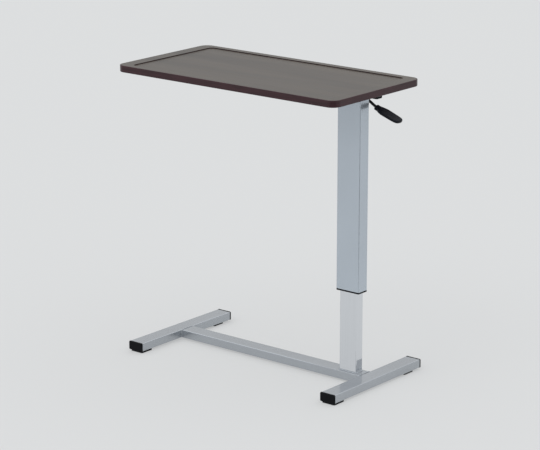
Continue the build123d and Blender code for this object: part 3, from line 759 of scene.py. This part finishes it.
class OVERBED_OT_stage(bpy.types.Operator):
    """Add the floor, the soft lights, the black card that only reflections see, and the camera"""

    bl_idname = "overbed.stage"
    bl_label = "Stage"

    def execute(self, context):
        _, _, stage = settings()
        scene = context.scene
        scene.view_settings.view_transform = "Standard"
        floor_size = 90.0
        bpy.ops.mesh.primitive_grid_add(x_subdivisions=2, y_subdivisions=2, size=floor_size)
        floor = context.object
        floor.name = "Studio_Floor"
        floor.data.materials.append(floor_finish())

        scene.world = self.surround(stage)
        key = bpy.data.lights.new("Key_Light", "SUN")
        key.energy = stage.key_strength
        key.angle = math.radians(35.0)
        lamp = bpy.data.objects.new("Key_Light", key)
        lamp.rotation_euler = (math.radians(48.0), 0.0, math.radians(-12.0))
        scene.collection.objects.link(lamp)
        self.camera(scene, stage)
        self.flag(stage)
        return {"FINISHED"}

    def flag(self, stage):
        """A black card low in front that only reflections see: it darkens the column's arris."""
        toward = Vector((math.sin(stage.camera_azimuth), -math.cos(stage.camera_azimuth), 0.0))
        aside = Vector((-toward.y, toward.x, 0.0))
        low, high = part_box("outer_column")
        foot = Vector((high.x, low.y, 0.01))
        near, far, spread = 1.0, 3.5, math.tan(math.radians(34.0))
        corners = [foot + toward * run + aside * run * spread * way
                   for run, way in ((near, -1), (far, -1), (far, 1), (near, 1))]
        mesh = bpy.data.meshes.new("Black_Flag")
        mesh.from_pydata([tuple(corner) for corner in corners], [], [(0, 1, 2, 3)])
        card = link("Black_Flag", mesh)
        material, _, shader = new_material("Flag Cloth")
        shader.inputs["Base Color"].default_value = (0.004, 0.004, 0.004, 1.0)
        shader.inputs["Specular IOR Level"].default_value = 0.0
        mesh.materials.append(material)
        card.visible_camera = card.visible_diffuse = card.visible_shadow = False

    def surround(self, stage):
        """Even light that grows stronger from the level of the table to overhead."""
        world = bpy.data.worlds.new("Studio Surround")
        world.use_nodes = True
        tree = world.node_tree
        backdrop = tree.nodes["Background"]
        backdrop.inputs["Color"].default_value = (0.975, 0.988, 1.0, 1.0)
        place = tree.nodes.new("ShaderNodeTexCoord")
        split = tree.nodes.new("ShaderNodeSeparateXYZ")
        tree.links.new(place.outputs["Generated"], split.inputs[0])
        # share of the full brightness at each height: level with the floor's, lower at table
        # height, then rising to overhead
        peak = stage.surround + stage.ceiling
        low = stage.surround / peak
        rise = ramp(tree, split.outputs["Z"], (
            (0.0, grey(low * 1.14)), (0.14, grey(low * 1.02)), (0.22, grey(low)),
            (0.34, grey(low)), (0.80, grey(1.0))))
        tree.links.new(math_of(tree, "MULTIPLY", rise, peak), backdrop.inputs["Strength"])
        return world

    def camera(self, scene, stage):
        """A long lens aimed at the middle of the table."""
        azimuth, elevation = stage.camera_azimuth, stage.camera_elevation
        level = math.cos(elevation)
        back = Vector((math.sin(azimuth) * level, -math.cos(azimuth) * level, math.sin(elevation)))
        right = Vector((math.cos(azimuth), math.sin(azimuth), 0.0))
        low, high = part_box("edge_band")
        aim_height, aim_right, aim_up = 0.4, 0.0099, 0.0077
        middle = Vector(((low.x + high.x) / 2, 0.0, aim_height))
        aim = middle + right * aim_right + back.cross(right) * aim_up
        data = bpy.data.cameras.new("Camera")
        data.lens = stage.camera_lens
        data.clip_end = 200.0
        camera = bpy.data.objects.new("Camera", data)
        camera.location = aim + back * stage.camera_distance
        camera.rotation_euler = (-back).to_track_quat("-Z", "Y").to_euler()
        scene.collection.objects.link(camera)
        scene.camera = camera


class OVERBED_OT_tabletop(bpy.types.Operator):
    """Build the film with its recess and the edge band"""

    bl_idname = "overbed.tabletop"
    bl_label = "Tabletop"

    def execute(self, context):
        top, _, _ = settings()
        low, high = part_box("edge_band")
        film_low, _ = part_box("surface_film")
        centre = (low + high) / 2
        thickness = film_low.x - low.x
        half = Vector((high.x - low.x, high.y - low.y)) / 2
        corner, recess_corner = 28.0 * MM, 16.0 * MM
        skin, soft, proud = 0.8 * MM, 0.3 * MM, 0.15 * MM
        wall = top.recess_slope
        rim = (half.x - top.recess_rim_end, half.y - top.recess_rim_side, recess_corner)
        floor_z = high.z - top.recess_depth

        def inward(step):
            """The recess's outline at the rim, drawn in by a step."""
            return tuple(size - step for size in rim)

        def loop(x, y, radius, z):
            """The points of one ring."""
            return [Vector((centre.x + p.x, p.y, z)) for p in rounded_outline(x, y, radius)]

        outer = (half.x - thickness, half.y - thickness, corner - thickness)
        # half length, half depth, corner radius and height of each ring, from the film's outer edge
        # over the rim and down to the recess's floor
        arris = self.arris(rim, 2.5 * MM, 0.5 * MM, high.z)
        rings = [
            (*outer, high.z - skin),
            (*outer, high.z),
            *arris,
            (*inward(wall - soft / 2), floor_z + soft),
            (*inward(wall), floor_z + 0.15 * soft),
            (*inward(wall + soft), floor_z),
            (rim[0] - 3 * wall, rim[1] - 3 * wall, rim[2] - wall, floor_z),
        ]
        layers = [loop(*ring) for ring in rings]
        under = [Vector((p.x, p.y, floor_z - skin)) for p in layers[-1]]
        lip = [Vector((p.x, p.y, high.z - skin)) for p in layers[2]]
        film = link("Surface_Film", stacked([under, lip, *layers]))
        settle(film, "surface_film", angle=50.0)

        # the same for the recess wall, whose finish is darkened as painted shade: how far in, and
        # how high, from its buried upper edge over its seen side to its buried lower edge
        edging = (
            (-2 * proud, high.z - skin), (0.0, high.z - 0.5 * MM), (proud, high.z - 0.6 * MM),
            (wall + proud, floor_z + 2 * proud), (wall + 3 * proud, floor_z + 0.3 * proud),
            (wall + 3 * proud, floor_z - 2 * proud), (-proud, floor_z - 2 * proud))
        loops = [loop(*inward(step), z) for step, z in edging]
        ring = link("Recess_Edging", stacked([*loops, loops[0]], False, False))
        # painted shade: the wall's material is the edge colour darkened to 0.4
        ring.data.materials.append(FINISHES["recess"])
        smooth(ring, 50.0)
        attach(ring, BODY_OF["surface_film"])

        self.edge_band(top, low, high, corner, thickness)
        return {"FINISHED"}

    def arris(self, rim, width, depth, z):
        """Rings that ease the rim's flat top down to the wall in a quarter of an ellipse."""
        rings = []
        for degrees in (0.0, 22.5, 45.0, 67.5, 90.0):
            turn = math.radians(degrees)
            grow = width * (1.0 - math.sin(turn))
            drop = depth * (1.0 - math.cos(turn))
            rings.append((rim[0] + grow, rim[1] + grow, rim[2] + grow, z - drop))
        return rings

    def edge_band(self, top, low, high, corner, thickness):
        """The band, swept round the board."""
        size = high - low
        widest_round = 0.98 * thickness
        band = grown("Edge_Band", band_tree(), Length=size.x - 2 * thickness,
                     Depth=size.y - 2 * thickness, Corner=corner - thickness, Height=size.z,
                     Thickness=thickness, Round=min(top.edge_round, widest_round),
                     Centre=(low + high) / 2, Material=FINISHES["edge_band"])
        settle(band, "edge_band", angle=60.0)


class OVERBED_OT_tubes(bpy.types.Operator):
    """Build the columns, the cross beam and the feet with even rounded corners"""

    bl_idname = "overbed.tubes"
    bl_label = "Tubes"

    def execute(self, context):
        _, metal, _ = settings()
        tree = tube_tree()
        upright = (0.0, 0.0, 0.0)
        along_x = (math.radians(90.0), 0.0, math.radians(90.0))
        for node in ("outer_column", "inner_column", "cross_beam"):
            low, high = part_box(node)
            size, centre = high - low, (low + high) / 2
            if node == "cross_beam":
                way = {"Width": size.y, "Depth": size.z, "Length": size.x, "Wall": metal.beam_wall,
                       "Start": Vector((low.x, centre.y, centre.z)), "Turn": along_x}
            else:
                way = {"Width": size.x, "Depth": size.y, "Length": size.z,
                       "Wall": metal.column_wall,
                       "Start": Vector((centre.x, centre.y, low.z)), "Turn": upright}
            piece = grown(node.title(), tree, Corner=metal.tube_corner,
                          Material=FINISHES[SLOT_OF[node]], **way)
            settle(piece, node)
        for node in ("left_foot_bar", "right_foot_bar"):
            settle(refined(node), node)
        return {"FINISHED"}


class OVERBED_OT_welds(bpy.types.Operator):
    """Run painted weld beads round the joints of the base"""

    bl_idname = "overbed.welds"
    bl_label = "Welds"

    def execute(self, context):
        _, metal, _ = settings()
        tree = weld_tree()
        beam_low, beam_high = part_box("cross_beam")
        column_low, column_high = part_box("inner_column")
        inset = 0.3 * metal.weld_radius
        corner, clear = 2 * MM, 3 * MM
        front, back = beam_low.y - inset, beam_high.y + inset
        seam = beam_high.z + inset
        paths = []
        for x in (beam_low.x + inset, beam_high.x - inset):
            profile = ((front, beam_low.z + clear), (front, beam_high.z - corner),
                       (beam_low.y + corner, seam), (beam_high.y - corner, seam),
                       (back, beam_high.z - corner), (back, beam_low.z + clear))
            paths.append([(x, y, z) for y, z in profile])
        left, right = column_low.x - inset, column_high.x + inset
        near, far = column_low.y - inset, column_high.y + inset
        foot = [(left, near, seam), (right, near, seam), (right, far, seam), (left, far, seam)]
        work = bmesh.new()
        for path, closed in ((paths[0], False), (paths[1], False), (foot, True)):
            points = [work.verts.new(point) for point in path]
            for first, second in zip(points, points[1:] + (points[:1] if closed else [])):
                work.edges.new((first, second))
        source = bpy.data.meshes.new("weld_paths")
        work.to_mesh(source)
        work.free()
        beads = grown("Weld_Beads", tree, source, Radius=metal.weld_radius,
                      Material=FINISHES["silver_base"])
        beads.data.shade_smooth()
        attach(beads, "base")
        return {"FINISHED"}


class OVERBED_OT_mouldings(bpy.types.Operator):
    """Soften the moulded parts: end caps, pads, sleeve, guide, plugs and bracket"""

    bl_idname = "overbed.mouldings"
    bl_label = "Mouldings"

    def execute(self, context):
        # the width of each part's softened edges, in millimetres
        softened = {
            "lower_sleeve": 0.4, "upper_guide": 0.4, "rail_plugs": 0.5, "lever_bracket": 0.8,
            "shaft_bush": 0.3, "top_board": 0.0, "board_rim": 0.0, "mounting_plate": 0.5,
            "support_rail_front": 0.3, "support_rail_rear": 0.3, "head_block": 0.4,
            "release_finger": 0.4, "lever_rod": 0.0, "lever_shaft": 0.0, "shaft_clip": 0.15,
            "column_foot_block": 0.3, "gas_cylinder": 0.4, "gas_gland": 0.2, "gas_rod": 0.2,
            "gas_piston": 0.3, "release_pin": 0.0}
        for side in ("left", "right"):
            softened.update({
                f"end_cap_{side}_front": 0.0, f"end_cap_{side}_rear": 0.0, f"foot_pad_{side}": 0.3,
                f"roller_housing_{side}": 0.4, f"roller_axle_{side}": 0.3, f"roller_{side}": 0.0})
        for node, bevel in softened.items():
            settle(refined(node, bevel * MM), node)
        for side in ("left", "right"):
            for end, way in (("front", -1), ("rear", 1)):
                self.flange(f"end_cap_{side}_{end}", way)
        return {"FINISHED"}

    def flange(self, node, way):
        """The cap's lip, a little proud of the tube, with a shallow panel in its face."""
        low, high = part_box(node)
        bar_low, bar_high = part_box(node.split("_")[2] + "_foot_bar")
        inner, outer = (bar_low.y, low.y) if way < 0 else (bar_high.y, high.y)
        middle = (low + high) / 2
        half = Vector((high.x - low.x, high.z - low.z)) / 2
        proud = 0.7
        # growth from the tube's outline and distance from the tube's end in millimetres, from the
        # tube out and over the face
        steps = ((-1.5, -0.3), (proud - 0.3, -0.3), (proud, 0.0), (proud, 3.4), (proud - 0.6, 4.2),
                 (-2.2, 4.2), (-2.6, 3.8), (-4.0, 3.8))
        rings = []
        for growth, out in steps:
            outline = rounded_outline(half.x + growth * MM, half.y + growth * MM,
                                      max(3.0 + growth, 0.6) * MM, 6)
            y = inner + way * out * MM
            rings.append([Vector((middle.x + p.x, y, middle.z + p.y)) for p in outline])
        piece = link(node.title() + "_Lip", stacked(rings))
        settle(piece, node, angle=40.0)


class OVERBED_OT_lever(bpy.types.Operator):
    """Shape the lever's paddle"""

    bl_idname = "overbed.lever"
    bl_label = "Lever"

    def execute(self, context):
        low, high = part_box("lever_paddle")
        slope = math.radians(20.0)
        along = Vector((math.cos(slope), 0.0, -math.sin(slope)))
        upward = Vector((math.sin(slope), 0.0, math.cos(slope)))
        root = 13.5 * MM            # the CAD paddle's thickness where the rod enters
        start = Vector((low.x + root / 2 * math.sin(slope), (low.y + high.y) / 2,
                        high.z - root / 2 * math.cos(slope)))
        # distance from the rod, width, thickness and depth of the finger dish, in millimetres
        stations = (
            (0.0, 15.0, 13.0, 0.0), (1.0, 17.0, 14.0, 0.0), (10.0, 19.0, 13.8, 0.0),
            (20.0, 30.0, 13.5, 0.2), (31.0, 37.5, 13.0, 1.1), (48.0, 39.0, 11.8, 1.9),
            (66.0, 38.5, 11.3, 1.8), (76.0, 36.5, 11.0, 1.3), (82.0, 32.5, 10.6, 0.6),
            (86.0, 26.5, 9.8, 0.1), (88.2, 19.0, 8.2, 0.0), (89.0, 12.0, 6.0, 0.0))
        rings = []
        for here, there, share in between(stations):
            distance, width, thickness, dish = (
                eased(stations, here, there, share, column) for column in range(4))
            rings.append([
                start + (along * distance + section(upward, width, thickness, dish, turn)) * MM
                for turn in range(SECTION_POINTS)])
        piece = link("Lever_Paddle", stacked(rings))
        settle(piece, "lever_paddle", angle=70.0)
        return {"FINISHED"}


class OVERBED_OT_screws(bpy.types.Operator):
    """Set every group of screws and bolts, each with its drive recess"""

    bl_idname = "overbed.screws"
    bl_label = "Screws"

    def execute(self, context):
        tree = screw_tree()
        down = (math.pi, 0.0, 0.0)
        rear = (math.radians(-90.0), 0.0, 0.0)
        # node, axis of the screw, turn, then head radius, head height, sides of the head, recess
        # radius and shank radius, with the lengths in millimetres
        groups = (
            ("board_screws", 2, down, 4.5, 3.0, 32, 1.9, 2.0),
            ("bracket_screws", 2, down, 4.5, 3.5, 32, 2.0, 2.5),
            ("pad_screws", 2, down, 4.6, 2.2, 32, 2.0, 2.5),
            ("foot_bolts", 2, down, 7.0, 4.0, 6, 2.5, 4.0),
            ("head_screws", 1, rear, 5.0, 2.5, 32, 2.2, 3.0),
        )
        for node, axis, turn, radius, height, sides, recess, shank in groups:
            islands = self.islands(node)
            seats, lengths = [], []
            for low, high in islands:
                seat = (low + high) / 2
                seat[axis] = high[axis] - height * MM if axis == 1 else low[axis] + height * MM
                seats.append(seat)
                lengths.append(high[axis] - low[axis] - height * MM)
            for length in sorted({round(value, 5) for value in lengths}):
                chosen = [seat for seat, value in zip(seats, lengths) if abs(value - length) < 1e-5]
                source = bpy.data.meshes.new(node + "_points")
                source.from_pydata([tuple(seat) for seat in chosen], [], [])
                name = f"{node.title()}_{round(length / MM)}"
                piece = grown(name, tree, source, Head_Radius=radius * MM,
                              Head_Height=height * MM, Sides=sides, Recess_Radius=recess * MM,
                              Shank_Radius=shank * MM, Shank_Length=length, Turn=turn,
                              Material=FINISHES[SLOT_OF[node]])
                settle(piece, node)
        return {"FINISHED"}

    def islands(self, node):
        """The box of each separate solid of a node."""
        work = bmesh.new()
        work.from_mesh(NODES[node].data)
        bmesh.ops.remove_doubles(work, verts=work.verts, dist=0.002 * MM)
        left, found = set(work.verts), []
        while left:
            stack, group = [left.pop()], []
            while stack:
                vertex = stack.pop()
                group.append(vertex.co.copy())
                for edge in vertex.link_edges:
                    other = edge.other_vert(vertex)
                    if other in left:
                        left.remove(other)
                        stack.append(other)
            low = Vector([min(point[i] for point in group) for i in range(3)])
            high = Vector([max(point[i] for point in group) for i in range(3)])
            found.append((low, high))
        work.free()
        return sorted(found, key=lambda pair: tuple(pair[0]))


class OVERBED_PT_panel(bpy.types.Panel):
    """The overbed table's steps and settings"""

    bl_idname = "OVERBED_PT_panel"
    bl_label = "Overbed Table"
    bl_space_type = "VIEW_3D"
    bl_region_type = "UI"
    bl_category = "Overbed Table"

    def draw(self, context):
        layout = self.layout
        for operator in STEPS:
            layout.operator(operator.bl_idname)
        for group in settings():
            box = layout.box()
            for name in group.__annotations__:
                box.prop(group, name)


STEPS = (
    OVERBED_OT_finishes, OVERBED_OT_stage, OVERBED_OT_tabletop, OVERBED_OT_tubes, OVERBED_OT_welds,
    OVERBED_OT_mouldings, OVERBED_OT_lever, OVERBED_OT_screws)
GROUPS = {
    "overbed_top": OverbedTopSettings,
    "overbed_metal": OverbedMetalSettings,
    "overbed_stage": OverbedStageSettings,
}


def register():
    """Registers the settings, the steps and the panel."""
    for name, group in GROUPS.items():
        bpy.utils.register_class(group)
        setattr(bpy.types.Scene, name, bpy.props.PointerProperty(type=group))
    for step in STEPS:
        bpy.utils.register_class(step)
    bpy.utils.register_class(OVERBED_PT_panel)


def unregister():
    """Removes everything that register added."""
    bpy.utils.unregister_class(OVERBED_PT_panel)
    for step in reversed(STEPS):
        bpy.utils.unregister_class(step)
    for name, group in reversed(list(GROUPS.items())):
        delattr(bpy.types.Scene, name)
        bpy.utils.unregister_class(group)


def main():
    """Builds the whole scene."""
    register()
    bpy.ops.overbed.finishes()
    bpy.ops.overbed.stage()
    bpy.ops.overbed.tabletop()
    bpy.ops.overbed.tubes()
    bpy.ops.overbed.welds()
    bpy.ops.overbed.mouldings()
    bpy.ops.overbed.lever()
    bpy.ops.overbed.screws()


if __name__ == "__main__":
    main()
